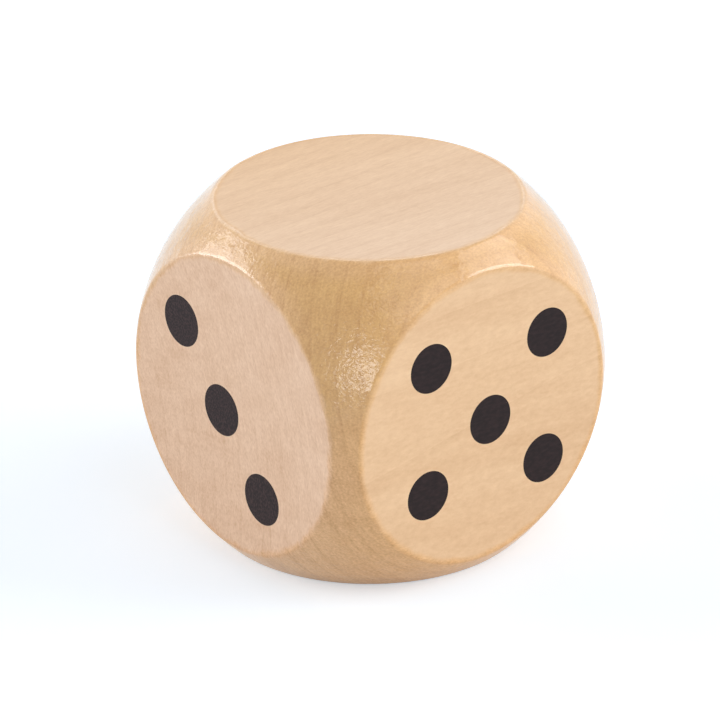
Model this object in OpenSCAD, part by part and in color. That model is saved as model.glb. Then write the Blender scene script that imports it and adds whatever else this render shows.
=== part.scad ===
// Wooden die with printed pips.
// A cube of pale hardwood is turned back to a ball at its edges and corners, which leaves a round
// flat on each of its six sides. Five flats are printed and the top one is blank.
// Opposite sides add up to seven, with the blank side in the place of the one.
// Millimetres. +Z points up through the blank side, and the origin is the middle of the flat
// that the die rests on.

/* [Body] */
// Distance between opposite flats
side = 30; // [28:1:60]
// Diameter of each round flat, up to where its rim starts to curve
flat_d = 26; // [22:0.5:26]
// Radius of the rim that eases each flat into the ball
rim_r = 0.6; // [0.2:0.1:0.9]

/* [Pips] */
// Diameter of a pip
pip_d = 4.4; // [2:0.1:4.6]
// Bare wood between the corner pips and the rim of their flat
pip_margin = 2.3; // [1.5:0.1:4]
// Depth that the ink soaks into the wood
ink_depth = 0.05; // [0.02:0.01:0.2]

/* [Print placing] */
// How far the three is printed off the middle of its flat, across and up
three_shift = [-1.4, -0.9]; // [-1.5:0.1:1.5]
// How much wider and taller the three's steps are than the plain ones
three_stretch = [-0.7, 0.4]; // [-1:0.1:1]
// How far the five is printed off the middle of its flat, across and up
five_shift = [0.5, 0]; // [-1.5:0.1:1.5]
// How much wider and taller the five's steps are than the plain ones
five_stretch = [0.3, -0.2]; // [-1:0.1:1]
// How far the five's middle pip sits off the middle of the other four, across and up
five_drift = [0.3, -0.6]; // [-1:0.1:1]
// How far the five is turned on its flat, in degrees
five_turn = -2; // [-5:0.5:5]

/* [Hidden] */
$fn = 96;
wood_colour = [0.90, 0.76, 0.60];
ink_colour = [0.20, 0.18, 0.19];

// Distance from the die's centre to a flat
half_side = side / 2;
// Centre of a rim's arc: its distance from the flat's axis, then its distance along that axis
rim_centre = [flat_d / 2, half_side - rim_r];
// Radius of the ball, which each rim's arc runs into without a corner
ball_r = rim_r + norm(rim_centre);
// How far a cutter runs past the surface that it cuts
cut_past = 1;
// Point outside the ball, in line with the die's centre and the centre of a rim's arc
rim_outside = rim_centre * (ball_r + cut_past) / norm(rim_centre);
// Half the pitch of the corner pips, which leaves pip_margin around them
pip_step = (flat_d / 2 - pip_margin - pip_d / 2) / sqrt(2);

// Turns that carry the top side to each side's place
top = [0, 0, 0];
bottom = [180, 0, 0];
front = [90, 0, 0];
back = [90, 0, 180];
left = [90, 0, -90];
right = [90, 0, 90];

// Pip layouts, in steps across and up the flat
diagonal = [[-1, 1], [1, -1]];
corners = [for (x = [-1, 1], y = [-1, 1]) [x, y]];
columns = [for (x = [-1, 1], y = [-1, 0, 1]) [x, y]];

// Puts what is drawn at the origin, facing up, on the flat that a turn leads to
module on_flat(turn) {
    translate([0, 0, half_side]) rotate(turn) translate([0, 0, half_side]) children();
}

// One pip: inked wood, flush with the flat, or raised above it to cut its own place
module pip(raised) {
    translate([0, 0, -ink_depth]) cylinder(d = pip_d, h = ink_depth + raised);
}

// The pips of a layout, with its steps made wider and taller by the stretch
module pips(layout, raised, stretch = [0, 0]) {
    step = [pip_step, pip_step] + stretch;
    for (place = layout) translate([place.x * step.x, place.y * step.y]) pip(raised);
}

// Ring that cuts away the sharp corner around a flat and leaves the rim's arc
module rim_cutter() {
    rotate_extrude() difference() {
        polygon([rim_centre, [rim_centre.x, half_side + cut_past], rim_outside]);
        translate(rim_centre) circle(r = rim_r);
    }
}

// The die before it is printed
module bare_die() {
    translate([0, 0, half_side]) difference() {
        intersection() {
            cube(side, center = true);
            sphere(r = ball_r);
        }
        for (turn = [top, bottom, front, back, left, right]) rotate(turn) rim_cutter();
    }
}

module die_body() {
    color(wood_colour) difference() {
        bare_die();
        two_pips(cut_past);
        three_pips(cut_past);
        four_pips(cut_past);
        five_pips(cut_past);
        six_pips(cut_past);
    }
}

module two_pips(raised = 0) {
    color(ink_colour) on_flat(back) pips(diagonal, raised);
}

module three_pips(raised = 0) {
    color(ink_colour) on_flat(left) translate(three_shift) {
        pips(diagonal, raised, three_stretch);
        pip(raised);
    }
}

module four_pips(raised = 0) {
    color(ink_colour) on_flat(right) pips(corners, raised);
}

module five_pips(raised = 0) {
    color(ink_colour) on_flat(front) translate(five_shift) rotate(five_turn) {
        pips(corners, raised, five_stretch);
        translate(five_drift) pip(raised);
    }
}

module six_pips(raised = 0) {
    color(ink_colour) on_flat(bottom) pips(columns, raised);
}

die_body();
two_pips();
three_pips();
four_pips();
five_pips();
six_pips();
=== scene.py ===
"""The looks of a wooden die: a lacquered ball of pale wood, six sanded flats and the printed pips."""

import math

import bmesh
import bpy
import numpy as np
from mathutils import Euler, Matrix, Vector, noise
from mathutils.geometry import delaunay_2d_cdt


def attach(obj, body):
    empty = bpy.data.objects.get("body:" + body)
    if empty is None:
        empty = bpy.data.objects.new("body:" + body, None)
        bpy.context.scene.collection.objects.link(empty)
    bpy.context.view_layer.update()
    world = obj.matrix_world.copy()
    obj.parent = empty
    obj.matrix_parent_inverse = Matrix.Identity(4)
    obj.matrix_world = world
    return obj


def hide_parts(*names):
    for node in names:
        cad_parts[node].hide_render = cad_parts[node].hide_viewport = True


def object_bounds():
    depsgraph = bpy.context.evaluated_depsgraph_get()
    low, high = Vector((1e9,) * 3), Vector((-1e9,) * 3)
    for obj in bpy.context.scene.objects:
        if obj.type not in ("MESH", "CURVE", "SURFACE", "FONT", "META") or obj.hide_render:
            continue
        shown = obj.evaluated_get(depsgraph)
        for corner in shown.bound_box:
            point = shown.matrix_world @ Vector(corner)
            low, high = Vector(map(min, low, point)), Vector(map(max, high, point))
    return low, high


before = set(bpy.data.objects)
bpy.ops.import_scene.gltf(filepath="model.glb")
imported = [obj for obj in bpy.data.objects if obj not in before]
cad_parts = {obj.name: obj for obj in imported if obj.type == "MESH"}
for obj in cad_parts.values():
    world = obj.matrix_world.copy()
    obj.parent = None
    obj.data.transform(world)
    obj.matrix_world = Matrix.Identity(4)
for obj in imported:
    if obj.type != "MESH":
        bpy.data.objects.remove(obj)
cad_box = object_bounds()

MM = 0.001
METRES_TO_MM = 1000.0

# The die's form in millimetres, as the CAD model has it
FLAT_RADIUS = 13.0
RIM_RADIUS = 0.6

CENTRE = (cad_box[0] + cad_box[1]) / 2
HALF = (cad_box[1].z - cad_box[0].z) / 2 * METRES_TO_MM
RIM_HEIGHT = HALF - RIM_RADIUS      # height above the die's middle of the middle of a rim's arc
BALL_RADIUS = RIM_RADIUS + math.hypot(FLAT_RADIUS, RIM_HEIGHT)
RIM_SLANT = math.atan2(FLAT_RADIUS, RIM_HEIGHT)      # where the rim runs into the ball

# The turn that carries the top of the die to each place, and the CAD node of the pips there
PLACES = {
    "top": ((0, 0, 0), None),
    "front": ((90, 0, 0), "five_pips"),
    "back": ((90, 0, 180), "two_pips"),
    "left": ((90, 0, -90), "three_pips"),
    "right": ((90, 0, 90), "four_pips"),
    "bottom": ((180, 0, 0), "six_pips"),
}

# Fineness of the mesh
AROUND = 512          # points round each flat
RIM_STEPS = 6         # strips across a rounded rim
BALL_STEPS = 16       # strips from a rim to the seam with the next sixth of the ball
PIP_POINTS = 96       # points round a pip
PIP_RINGS = 4         # rings of faces in a pip
PLATE_STEP = 1.2      # spacing of the points that fill a flat, in millimetres
SAME_PLACE = 1e-6     # millimetres within which points or planes count as the same
WELD_DECIMALS = 4     # points that agree to this many decimals of a millimetre are welded
CAD_WELD = 1e-7       # metres within which points of the CAD's own mesh are welded

# The ink soaks this far past a pip's edge where the side is end grain, in millimetres
INK_SPREAD = 0.09
END_GRAIN_SIDES = ("left", "right")

# How the grain lies in the die, in degrees and millimetres
GRAIN_TURN = Euler((0, math.radians(6), math.radians(-2.5)))
PITH = Vector((0, 38.5, -11))      # the heart of the tree, from the middle of the die
RING_WIDTH = 1.6
RING_WANDER = 1.6                  # how far the rings stray, in rings, where the noise is 1
LATE_WOOD_POWER = 7.0              # the higher, the narrower the dark part of each ring

# The lacquered ball isn't quite even: heights in millimetres, and waves per millimetre
SWELL = 0.006
MORE_SWELL_ON_END_GRAIN = 0.010
SWELL_FADES_OVER = 0.4      # depth below the rims in which it comes up
SWELL_WAVES = ((0.7, 1.1), (0.3, 2.3))      # share and fineness of each


# ---- Geometry: everything is made round the die's middle, in millimetres ----


def quarter_turns(degrees):
    """The exact matrix of a turn by whole quarters, so that seams meet."""
    return np.round(np.array(Euler([math.radians(a) for a in degrees]).to_matrix()))


def turned(points, turn):
    """Points of the top sixth of the die, carried to another place."""
    return np.asarray(points) @ quarter_turns(turn).T


def circle(radius, count, middle=(0, 0)):
    angle = np.arange(count) * 2 * np.pi / count
    return np.column_stack([middle[0] + radius * np.cos(angle), middle[1] + radius * np.sin(angle)])


def lifted(flat_points, height):
    """Points of a plane as points in space at that height."""
    return np.column_stack([flat_points, np.full(len(flat_points), height)])


def strips(rings, count, inward=False):
    """Quads between successive rings of count points, facing up where the rings grow outward."""
    k = np.arange(count)
    after = (k + 1) % count
    quads = []
    for j in range(rings - 1):
        low, high = j * count, (j + 1) * count
        quad = np.column_stack([low + k, high + k, high + after, low + after])
        quads.extend((quad[:, ::-1] if inward else quad).tolist())
    return quads


def shell():
    """A sixth of the die outside its flat: the rounded rim, then the ball up to the next sixths."""
    across = circle(1, AROUND)
    rings = []
    for slant in np.linspace(0, RIM_SLANT, RIM_STEPS + 1):
        radius = FLAT_RADIUS + RIM_RADIUS * math.sin(slant)
        rings.append(lifted(across * radius, RIM_HEIGHT + RIM_RADIUS * math.cos(slant)))
    seam = np.arctan(1 / np.abs(across).max(axis=1))
    for share in np.arange(1, BALL_STEPS + 1) / BALL_STEPS:
        slant = RIM_SLANT + (seam - RIM_SLANT) * share
        out = across * (BALL_RADIUS * np.sin(slant))[:, None]
        rings.append(np.column_stack([out, BALL_RADIUS * np.cos(slant)]))
    return np.concatenate(rings), strips(len(rings), AROUND)


def fill_points(pips):
    """A square pattern of points on the flat, clear of its edge and of the pips."""
    steps = np.arange(-FLAT_RADIUS, FLAT_RADIUS, PLATE_STEP) + PLATE_STEP / 2
    fill = np.array([(u, v) for u in steps for v in steps])
    clear = np.hypot(*fill.T) < FLAT_RADIUS - PLATE_STEP / 2
    for u, v, radius in pips:
        clear &= np.hypot(fill[:, 0] - u, fill[:, 1] - v) > radius + PLATE_STEP / 2
    return fill[clear]


def plate(pips):
    """The flat itself, with a round hole for each pip, as points and triangles."""
    loops = [circle(FLAT_RADIUS, AROUND)]
    loops += [circle(radius, PIP_POINTS, (u, v)) for u, v, radius in pips]
    edges = []
    start = 0
    for loop in loops:
        k = np.arange(len(loop))
        edges += np.column_stack([start + k, start + (k + 1) % len(loop)]).tolist()
        start += len(loop)
    points = np.concatenate([*loops, fill_points(pips)])
    made = delaunay_2d_cdt([Vector(p) for p in points], edges, [], 0, SAME_PLACE, True)
    _, _, made_faces, made_from, _, _ = made
    triangles = []
    for face in made_faces:
        triangle = [made_from[i][0] for i in face]
        u, v = points[triangle].mean(axis=0)
        if all(math.hypot(u - pip_u, v - pip_v) > radius for pip_u, pip_v, radius in pips):
            triangles.append(triangle)
    return lifted(points, HALF), triangles


def disc(pip, height, facing_up=True):
    """A pip's round face as rings of quads about a middle point."""
    u, v, radius = pip
    rings = [circle(radius * (j + 1) / PIP_RINGS, PIP_POINTS, (u, v)) for j in range(PIP_RINGS)]
    points = lifted(np.concatenate([*rings, [(u, v)]]), height)
    faces = strips(PIP_RINGS, PIP_POINTS, inward=not facing_up)
    middle = len(points) - 1
    for k in range(PIP_POINTS):
        edge = [k, (k + 1) % PIP_POINTS]
        faces.append([middle, *(edge if facing_up else edge[::-1])])
    return points, faces


def wall(pip, depth, facing_out):
    """The short cylinder round a pip, from the flat down to its depth."""
    u, v, radius = pip
    ring = circle(radius, PIP_POINTS, (u, v))
    points = np.concatenate([lifted(ring, HALF), lifted(ring, HALF - depth)])
    return points, strips(2, PIP_POINTS, inward=not facing_out)


def welded(parts):
    """Joins (points, faces) parts into one, with points that coincide made one."""
    points = np.concatenate([part_points for part_points, _ in parts])
    rounded = np.round(points, WELD_DECIMALS)
    _, first, index = np.unique(rounded, axis=0, return_index=True, return_inverse=True)
    index = index.ravel()
    faces = []
    start = 0
    for part_points, part_faces in parts:
        faces += [[int(index[start + i]) for i in face] for face in part_faces]
        start += len(part_points)
    return points[first], faces


def uneven(points):
    """Moves the lacquered ball in and out by thousandths of a millimetre, most on end grain."""
    depth = HALF - np.abs(points).max(axis=1)
    rim_depth = HALF - BALL_RADIUS * math.cos(RIM_SLANT)
    along = Vector(GRAIN_TURN.to_matrix().col[0])
    for i in np.nonzero(depth > rim_depth)[0]:
        place = Vector(points[i])
        outward = place.normalized()
        fade = min(1.0, (depth[i] - rim_depth) / SWELL_FADES_OVER)
        wave = sum(share * noise.noise(place * fineness) for share, fineness in SWELL_WAVES)
        swell = SWELL + MORE_SWELL_ON_END_GRAIN * abs(outward.dot(along))
        points[i] += np.array(outward) * wave * fade * swell
    return points


def make_piece(name, points, faces, material):
    """A mesh object from points round the die's middle, with flats that shade as true planes."""
    mesh = bpy.data.meshes.new(name)
    mesh.from_pydata((points * MM + np.array(CENTRE)).tolist(), [], faces)
    mesh.validate()
    mesh.shade_smooth()
    normals = np.zeros(len(mesh.vertices) * 3)
    mesh.vertex_normals.foreach_get("vector", normals)
    normals = normals.reshape(-1, 3)
    level = np.abs(points).max(axis=1)
    side = np.abs(points).argmax(axis=1)
    for i in np.nonzero(level > HALF - SAME_PLACE)[0]:
        normals[i] = 0
        normals[i, side[i]] = np.sign(points[i, side[i]])
    mesh.normals_split_custom_set_from_vertices(normals.tolist())
    mesh.materials.append(material)
    piece = bpy.data.objects.new(name, mesh)
    bpy.context.scene.collection.objects.link(piece)
    return piece


def loose_parts(mesh):
    """The vertices of a bmesh, in one list for each part that hangs together."""
    waiting = set(mesh.verts)
    while waiting:
        reached = [waiting.pop()]
        for vert in reached:
            for edge in vert.link_edges:
                other = edge.other_vert(vert)
                if other in waiting:
                    waiting.remove(other)
                    reached.append(other)
        yield reached


def pips_of(node, turn):
    """The CAD node's pips as (across, up, radius) on their flat, and their depth, in millimetres."""
    mesh = bmesh.new()
    mesh.from_mesh(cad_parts[node].data)
    bmesh.ops.remove_doubles(mesh, verts=mesh.verts, dist=CAD_WELD)
    back = quarter_turns(turn)
    pips = []
    for verts in loose_parts(mesh):
        local = np.array([(v.co - CENTRE) * METRES_TO_MM for v in verts]) @ back
        low, high = local.min(axis=0), local.max(axis=0)
        middle = (low + high) / 2
        pips.append((float(middle[0]), float(middle[1]), float(high[0] - low[0]) / 2))
        depth = float(high[2] - low[2])
    mesh.free()
    return sorted(pips), depth


# ---- Shaders ----


class Shader:
    """The nodes of a material or a world. An input takes a value or another node's output."""

    def __init__(self, owner):
        owner.use_nodes = True
        self.owner = owner
        self.tree = owner.node_tree
        self.tree.nodes.clear()

    def node(self, kind, inputs, output=0, **settings):
        made = self.tree.nodes.new(kind)
        for key, value in settings.items():
            setattr(made, key, value)
        for key, value in inputs.items():
            if isinstance(value, bpy.types.NodeSocket):
                self.tree.links.new(value, made.inputs[key])
            else:
                made.inputs[key].default_value = value
        return made.outputs[output] if len(made.outputs) else None

    def math(self, operation, *values, clamp=False):
        return self.node("ShaderNodeMath", dict(enumerate(values)), operation=operation, use_clamp=clamp)

    def add(self, first, second):
        return self.math("ADD", first, second)

    def multiply(self, first, second):
        return self.math("MULTIPLY", first, second)

    def total(self, *terms):
        """The sum of (weight, value) terms."""
        result = 0.0
        for weight, value in terms:
            result = self.math("MULTIPLY_ADD", value, weight, result)
        return result

    def vector(self, operation, *values, output=0):
        return self.node("ShaderNodeVectorMath", dict(enumerate(values)), output, operation=operation)

    def length(self, vector):
        return self.vector("LENGTH", vector, output="Value")

    def axis(self, vector, name):
        """One part of a vector: "X", "Y" or "Z"."""
        return self.node("ShaderNodeSeparateXYZ", {"Vector": vector}, name)

    def coordinate(self, kind):
        """Where a point is ("Object") or which way the surface faces there ("Normal")."""
        return self.node("ShaderNodeTexCoord", {}, kind)

    def step(self, value, low, high, to_low=0.0, to_high=1.0):
        """A smooth rise or fall, from to_low to to_high, while value goes from low to high."""
        inputs = {"Value": value, "From Min": low, "From Max": high, "To Min": to_low, "To Max": to_high}
        return self.node("ShaderNodeMapRange", inputs, interpolation_type="SMOOTHSTEP")

    def blend(self, share, none, full):
        """A number that goes smoothly from none to full while share goes from 0 to 1."""
        return self.step(share, 0.0, 1.0, none, full)

    def mix(self, share, first, second, blend="MIX"):
        """The second colour over the first, by share."""
        inputs = {0: share, 6: first, 7: second}
        return self.node("ShaderNodeMix", inputs, 2, data_type="RGBA", blend_type=blend)

    def noise(self, place, waves, detail=2.0, distortion=0.0):
        """Noise about zero, with that many waves per millimetre each way."""
        scaled = self.vector("MULTIPLY", place, waves)
        inputs = {"Vector": scaled, "Scale": 1.0, "Detail": detail, "Distortion": distortion}
        return self.math("SUBTRACT", self.node("ShaderNodeTexNoise", inputs), 0.5)

    def bump(self, height):
        """The normal of a surface that is raised by height, in millimetres."""
        return self.node("ShaderNodeBump", {"Height": height, "Distance": MM, "Strength": 1.0})

    def principled(self, **inputs):
        named = {key.replace("_", " "): value for key, value in inputs.items()}
        surface = self.node("ShaderNodeBsdfPrincipled", named)
        self.node("ShaderNodeOutputMaterial", {"Surface": surface})
        return self.owner


def rgb(red, green, blue):
    return (red, green, blue, 1.0)


def seen_directly(shader):
    """1 for rays from the camera, off a gloss or through glass, 0 for rays that gather diffuse light."""
    rays = [shader.node("ShaderNodeLightPath", {}, f"Is {kind} Ray")
            for kind in ("Camera", "Glossy", "Transmission")]
    return shader.math("ADD", shader.add(rays[0], rays[1]), rays[2], clamp=True)


# ---- Wood ----

# The share of red, green and blue light that each cut of the bare wood sends back
FLAT_SAWN = rgb(0.836, 0.554, 0.328)
QUARTER_SAWN = rgb(0.87, 0.638, 0.464)
END_GRAIN = rgb(0.805, 0.550, 0.383)

# The share of that which the lacquer lets out
LACQUER_TINT = rgb(0.85, 0.69, 0.36)
THIN_LACQUER_TINT = rgb(0.98, 0.845, 0.63)

# Darker fibre is warmer: it loses more green and blue than red
TONE_TINT = (1.0, 1.45, 1.9)

# Distances past the edge of a flat between which each comes up, in millimetres; the painted sheen, a
# paler lacquer tint, instead dies away over its span
GLOSS_EDGE = (-0.12, 0.18)
LACQUER_EDGE = (-0.42, 0.38)
WRINKLE_EDGE = (0.25, 0.8)
PAINTED_SHEEN_EDGE = (0.5, 1.8)

# Heights between which the lacquer changes, and between which the painted sheen comes in, in millimetres
THIN_TO_FULL = (-PITH.z - 3.0, -PITH.z + 5.0)      # above the heart of the tree
PAINTED_SHEEN_HEIGHTS = (6.0, 12.0)                       # above the middle of the die


class Grain:
    """Where a point lies in the tree, in millimetres, and how its surface cuts the grain."""

    def __init__(self, shader):
        to_grain = GRAIN_TURN.to_matrix().inverted()
        turn = to_grain.to_euler()
        offset = -(to_grain @ (CENTRE * METRES_TO_MM)) - PITH
        where = {"Vector": shader.coordinate("Object"), "Location": offset, "Rotation": turn,
                 "Scale": (METRES_TO_MM,) * 3}
        self.place = shader.node("ShaderNodeMapping", where, vector_type="POINT")
        across = shader.vector("MULTIPLY", self.place, (0, 1, 1))
        self.radius = shader.length(across)
        angle = shader.math("ARCTAN2", shader.axis(across, "Z"),
                            shader.multiply(shader.axis(across, "Y"), -1.0))
        around = shader.multiply(angle, PITH.length)
        along = shader.axis(self.place, "X")
        self.lengths = shader.node("ShaderNodeCombineXYZ", {"X": along, "Y": self.radius, "Z": around})
        self.above_heart = shader.axis(self.place, "Z")
        self.above_middle = shader.add(self.above_heart, PITH.z)

        facing = shader.node("ShaderNodeMapping",
                             {"Vector": shader.coordinate("Normal"), "Rotation": turn},
                             vector_type="VECTOR")
        outward = shader.vector("NORMALIZE", across)
        facing_out = shader.vector("DOT_PRODUCT", facing, outward, output="Value")

        # From 0 to 1: how squarely the surface faces along the grain, how far it counts as end grain,
        # and how far it counts as flat-sawn
        self.facing_along = shader.math("ABSOLUTE", shader.axis(facing, "X"))
        self.end = shader.step(self.facing_along, 0.45, 0.95)
        self.flat_sawn = shader.step(shader.math("ABSOLUTE", facing_out), 0.3, 0.9)


def past_flat_edge(shader, grain):
    """How far a point lies outside the nearest flat's edge, in millimetres: below 0 on the flat."""
    from_middle = shader.vector("SUBTRACT", shader.coordinate("Object"), tuple(CENTRE))
    scaled = shader.vector("MULTIPLY", shader.vector("ABSOLUTE", from_middle), (METRES_TO_MM,) * 3)
    x, y, z = [shader.axis(scaled, name) for name in "XYZ"]
    reach = shader.math("MAXIMUM", shader.math("MAXIMUM", x, y), z)
    away = shader.length(scaled)
    square = shader.math("SUBTRACT", shader.multiply(away, away), shader.multiply(reach, reach))
    beside = shader.math("SQRT", shader.math("MAXIMUM", square, 0.0))

    # The edge wanders, and is the more ragged the more end grain there is in it
    drift = shader.noise(grain.place, (0.22, 0.22, 0.22), detail=1.0)
    ragged = shader.noise(grain.lengths, (1.0, 1.5, 1.1), detail=1.0)
    torn = shader.step(grain.facing_along, 0.2, 0.65, 0.35, 0.70)
    wander = shader.total((0.7, drift), (1.0, shader.multiply(ragged, torn)))
    return shader.add(shader.math("SUBTRACT", beside, FLAT_RADIUS), wander)


def rings_of_growth(shader, grain):
    """Near 1 in the dark late wood at the end of each year, and near 0 before it."""
    wander = shader.noise(grain.lengths, (0.02, 0.35, 0.05), detail=1.0)
    years = shader.total((1 / RING_WIDTH, grain.radius), (RING_WANDER, wander))
    return shader.math("POWER", shader.math("FRACT", years), LATE_WOOD_POWER)


def wood_tone(shader, grain, lacquer, fibre, bundles):
    """How much lighter or darker the wood is than its plain colour, darkened towards the bottom as
    painted shade. Lacquer brings out the figure.
    """
    specks = shader.noise(grain.place, (4.4, 6.2, 6.2))
    fine = shader.total((0.34, fibre), (0.18, bundles))
    fine = shader.multiply(fine, shader.blend(grain.end, 0.5, 0.95))
    fine = shader.add(fine, shader.multiply(specks, shader.blend(lacquer, 0.08, 0.45)))

    layers = shader.noise(grain.lengths, (0.03, 1.3, 0.10), detail=3.0)
    lines = shader.noise(grain.lengths, (0.7, 4.6, 0.6))
    layered = shader.total((0.045, layers), (-0.045, rings_of_growth(shader, grain)))
    layered = shader.multiply(layered, shader.blend(lacquer, 1.0, 1.7))
    layered = shader.add(layered, shader.multiply(lines, shader.blend(lacquer, 0.0, 0.20)))
    streaks = shader.add(fine, layered)

    bands = shader.noise(grain.lengths, (0.04, 0.55, 0.14), detail=1.0)
    broad = shader.noise(grain.lengths, (0.05, 0.2, 0.16))
    wisps = shader.noise(grain.lengths, (0.035, 0.25, 0.80), detail=1.0, distortion=0.3)
    tone = shader.add(streaks, shader.total((0.05, bands), (0.08, broad), (0.13, wisps)))

    from_middle = shader.math("SUBTRACT", grain.radius, PITH.length)
    # Lighter the farther from the heart; darker towards the bottom, which is painted shade for the dimmer
    # light low down.
    return shader.add(tone, shader.total((0.0008, from_middle), (0.0018, grain.above_middle)))


def wood_colour(shader, grain, edge, lacquer, cover, tone):
    """Bare wood by the way it is cut, tinted by the lacquer, and lighter or darker by its tone. High up
    near the flats' edges the tint is made paler: painted sheen.
    """
    long_grain = shader.mix(grain.flat_sawn, QUARTER_SAWN, FLAT_SAWN)
    bare = shader.mix(grain.end, long_grain, END_GRAIN)
    # Painted sheen: high on the die, near the flats' edges, the lacquer's tint is made paler, standing in
    # for a milky reflection there.
    sheen_paling = shader.step(grain.above_middle, *PAINTED_SHEEN_HEIGHTS, 1.0, 0.5)
    cover_and_sheen = shader.multiply(cover, shader.step(edge, *PAINTED_SHEEN_EDGE, sheen_paling, 1.0))
    lacquer_tint = shader.mix(cover_and_sheen, THIN_LACQUER_TINT, LACQUER_TINT)
    coated = shader.mix(lacquer, bare, shader.mix(1.0, bare, lacquer_tint, "MULTIPLY"))
    shade = shader.vector("MULTIPLY_ADD", tone, TONE_TINT, (1, 1, 1))
    return shader.vector("MULTIPLY", coated, shade)


def wood_relief(shader, grain, edge, gloss, fibre, bundles):
    """The height of the surface in millimetres: sanded fibre, and wrinkles in the lacquer."""
    wrinkle = shader.noise(grain.place, (2.2, 3.0, 3.0), distortion=0.9)
    waves = shader.noise(grain.place, (0.7, 0.9, 0.9), detail=1.0)
    wrinkle_height = shader.step(grain.facing_along, 0.15, 0.6, 0.018, 0.042)
    wrinkle_height = shader.multiply(wrinkle_height, shader.step(edge, *WRINKLE_EDGE, 0.4, 1.0))
    wrinkled = shader.math("MULTIPLY_ADD", wrinkle, wrinkle_height, shader.multiply(waves, 0.06))
    sanded = shader.total((0.004, fibre), (0.005, bundles))
    return shader.add(sanded, shader.multiply(wrinkled, gloss))


def wood_material():
    shader = Shader(bpy.data.materials.new("wood"))
    grain = Grain(shader)
    fibre = shader.noise(grain.lengths, (1.2, 6.5, 3.6))
    bundles = shader.noise(grain.lengths, (0.50, 3.2, 1.1), distortion=0.3)

    edge = past_flat_edge(shader, grain)
    gloss = shader.step(edge, *GLOSS_EDGE)
    lacquer = shader.step(edge, *LACQUER_EDGE)
    patches = shader.noise(grain.place, (0.13, 0.13, 0.13), detail=1.0)
    cover = shader.step(shader.total((1.0, grain.above_heart), (9.0, patches)), *THIN_TO_FULL)

    tone = wood_tone(shader, grain, lacquer, fibre, bundles)
    colour = wood_colour(shader, grain, edge, lacquer, cover, tone)
    bump = shader.bump(wood_relief(shader, grain, edge, gloss, fibre, bundles))
    coat = shader.multiply(gloss, shader.blend(cover, 0.15, 1.0))
    return shader.principled(Base_Color=colour, Roughness=shader.blend(gloss, 0.72, 0.42), IOR=1.5,
                             Normal=bump, Specular_IOR_Level=0.25,
                             Sheen_Weight=0.2, Sheen_Roughness=0.3,
                             Coat_Weight=coat, Coat_Roughness=0.08, Coat_IOR=1.6, Coat_Normal=bump)


# ---- Ink ----

FULL_INK = rgb(0.007, 0.001, 0.001)
THIN_INK = rgb(0.034, 0.0145, 0.0145)


def ink_material():
    """Matt black print that lies thinner on the wood's raised fibres, most so on end grain."""
    shader = Shader(bpy.data.materials.new("ink"))
    grain = Grain(shader)
    fibre = shader.noise(grain.lengths, (1.6, 6.5, 5.0))
    speckle = shader.blend(grain.end, 1.2, 4.0)
    usual = shader.blend(grain.end, 0.15, 0.40)
    thin = shader.math("MULTIPLY_ADD", fibre, speckle, usual, clamp=True)
    colour = shader.mix(thin, FULL_INK, THIN_INK)
    bump = shader.bump(shader.multiply(fibre, shader.blend(grain.end, 0.006, 0.014)))
    return shader.principled(Base_Color=colour, Roughness=0.6, Specular_IOR_Level=0.25, Normal=bump)


# ---- Pieces ----


def print_pips(node, turn, pips, depth, ink):
    """The ink of one side, as closed discs let into its flat."""
    parts = []
    for pip in pips:
        parts += [disc(pip, HALF), wall(pip, depth, facing_out=True)]
        parts += [disc(pip, HALF - depth, facing_up=False)]
    points, faces = welded([(turned(p, turn), f) for p, f in parts])
    piece = make_piece(node + "_ink", points, faces, ink)
    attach(piece, "root")
    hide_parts(node)


def build_die():
    wood = wood_material()
    ink = ink_material()
    body_parts = []
    for name, (turn, node) in PLACES.items():
        pips, depth = pips_of(node, turn) if node else ([], 0)
        if name in END_GRAIN_SIDES:
            pips = [(u, v, radius + INK_SPREAD) for u, v, radius in pips]
        pockets = [wall(pip, depth, facing_out=False) for pip in pips]
        pockets += [disc(pip, HALF - depth) for pip in pips]
        body_parts += [(turned(p, turn), f) for p, f in [shell(), plate(pips), *pockets]]
        if node:
            print_pips(node, turn, pips, depth, ink)
    points, faces = welded(body_parts)
    body = make_piece("die_wood", uneven(points), faces, wood)
    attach(body, "root")
    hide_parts("die_body")


# ---- Studio ----

# The photograph's view of the die's middle, in degrees and metres
CAMERA_AZIMUTH, CAMERA_ELEVATION, CAMERA_ROLL = -38.948, 25.272, -0.483
CAMERA_DISTANCE = 0.630
AIM_LEFT, AIM_DOWN = 0.00086, 0.00026      # the middle of the picture, from the die's middle
NEAREST_SEEN, FARTHEST_SEEN = 0.01, 20
LENS, SENSOR_WIDTH = 369.8, 36             # in millimetres

WORLD_LIGHT = 0.36           # as a light, where full white is 1
FLOOR_COLOUR = rgb(0.74, 0.79, 0.845)
FLOOR_GLOW = rgb(0.33, 0.36, 0.39)
GLOW_NEAR, GLOW_FAR = 1.1, 2.3
GLOW_GROWS = (0.2, 1.2)      # from the one to the other between these distances, in metres
FLOOR_REACH = 6.0            # metres from the die each way


def direction(azimuth, elevation):
    """From the die towards that azimuth and elevation in degrees: 0 is the front, -90 the left."""
    a, e = math.radians(azimuth), math.radians(elevation)
    return Vector((math.sin(a) * math.cos(e), -math.cos(a) * math.cos(e), math.sin(e)))


def looking_back(towards):
    """The turn of a camera or lamp that stands in that direction and looks at the die."""
    return towards.to_track_quat("Z", "Y").to_matrix()


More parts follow.
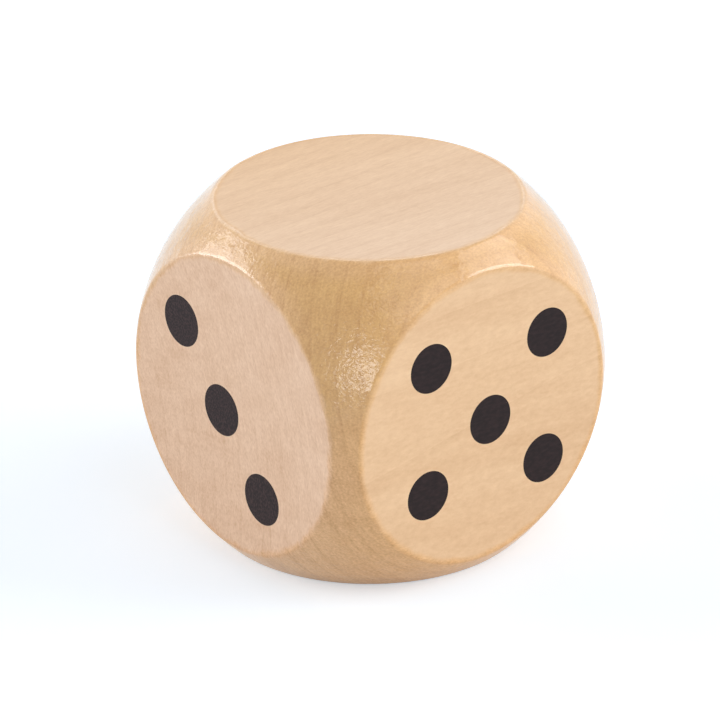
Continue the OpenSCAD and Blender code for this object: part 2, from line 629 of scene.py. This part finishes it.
def make_camera():
    """The photograph's view: a long lens, from the left front corner and above."""
    towards = direction(CAMERA_AZIMUTH, CAMERA_ELEVATION)
    turn = looking_back(towards) @ Matrix.Rotation(math.radians(CAMERA_ROLL), 3, "Z")
    swing = Euler((-AIM_DOWN / CAMERA_DISTANCE, AIM_LEFT / CAMERA_DISTANCE, 0)).to_matrix()
    data = bpy.data.cameras.new("camera")
    data.sensor_width = SENSOR_WIDTH
    data.lens = LENS
    data.clip_start, data.clip_end = NEAREST_SEEN, FARTHEST_SEEN
    camera = bpy.data.objects.new("camera", data)
    camera.matrix_world = Matrix.Translation(CENTRE + towards * CAMERA_DISTANCE) @ (turn @ swing).to_4x4()
    bpy.context.scene.collection.objects.link(camera)
    bpy.context.scene.camera = camera


def softbox(name, azimuth, elevation, distance, width, height, level):
    """An oval lamp aimed at the die. level is how much of full white it gives a surface facing it."""
    data = bpy.data.lights.new(name, "AREA")
    data.shape = "ELLIPSE"
    data.size, data.size_y = width, height
    data.energy = level * math.pi**2 * distance**2
    towards = direction(azimuth, elevation)
    lamp = bpy.data.objects.new(name, data)
    lamp.matrix_world = Matrix.Translation(CENTRE + towards * distance) @ looking_back(towards).to_4x4()
    lamp.visible_camera = False
    bpy.context.scene.collection.objects.link(lamp)


def make_world():
    """White to look at, and dimmer as a light."""
    world = bpy.data.worlds.new("studio")
    bpy.context.scene.world = world
    shader = Shader(world)
    strength = shader.blend(seen_directly(shader), WORLD_LIGHT, 1.0)
    background = shader.node("ShaderNodeBackground", {"Color": rgb(1, 1, 1), "Strength": strength})
    shader.node("ShaderNodeOutputWorld", {"Surface": background})


def make_floor():
    """A plain pale floor. Its glow is seen but gives no diffuse light, and whitens the far floor."""
    shader = Shader(bpy.data.materials.new("floor"))
    distance = shader.length(shader.coordinate("Object"))
    strength = shader.step(distance, *GLOW_GROWS, GLOW_NEAR, GLOW_FAR)
    glow = shader.multiply(seen_directly(shader), strength)
    material = shader.principled(Base_Color=FLOOR_COLOUR, Roughness=1.0, Specular_IOR_Level=0.0,
                                 Emission_Color=FLOOR_GLOW, Emission_Strength=glow)
    corners = [(-1, -1), (1, -1), (1, 1), (-1, 1)]
    mesh = bpy.data.meshes.new("floor")
    mesh.from_pydata([(x * FLOOR_REACH, y * FLOOR_REACH, cad_box[0].z) for x, y in corners],
                     [], [(0, 1, 2, 3)])
    mesh.materials.append(material)
    floor = bpy.data.objects.new("floor", mesh)
    bpy.context.scene.collection.objects.link(floor)


make_camera()
build_die()
make_world()
make_floor()
softbox("front_softbox", -42, 18, 0.40, 0.12, 0.135, level=0.11)
softbox("left_key", -138, 14, 1.00, 0.52, 0.54, level=0.20)
softbox("left_wide", -143, 18, 1.00, 0.80, 0.76, level=0.38)
softbox("right_key", 46, 18, 1.00, 0.54, 0.64, level=0.35)
softbox("right_wide", 58, 36, 1.10, 0.80, 0.70, level=0.19)
softbox("right_side", 82, 18, 1.10, 1.72, 0.98, level=0.12)
softbox("back", 150, 35, 1.30, 1.40, 0.90, level=0.14)
softbox("front_fill", 0, 52, 1.00, 0.80, 0.60, level=0.115)
bpy.context.scene.view_settings.view_transform = "Standard"
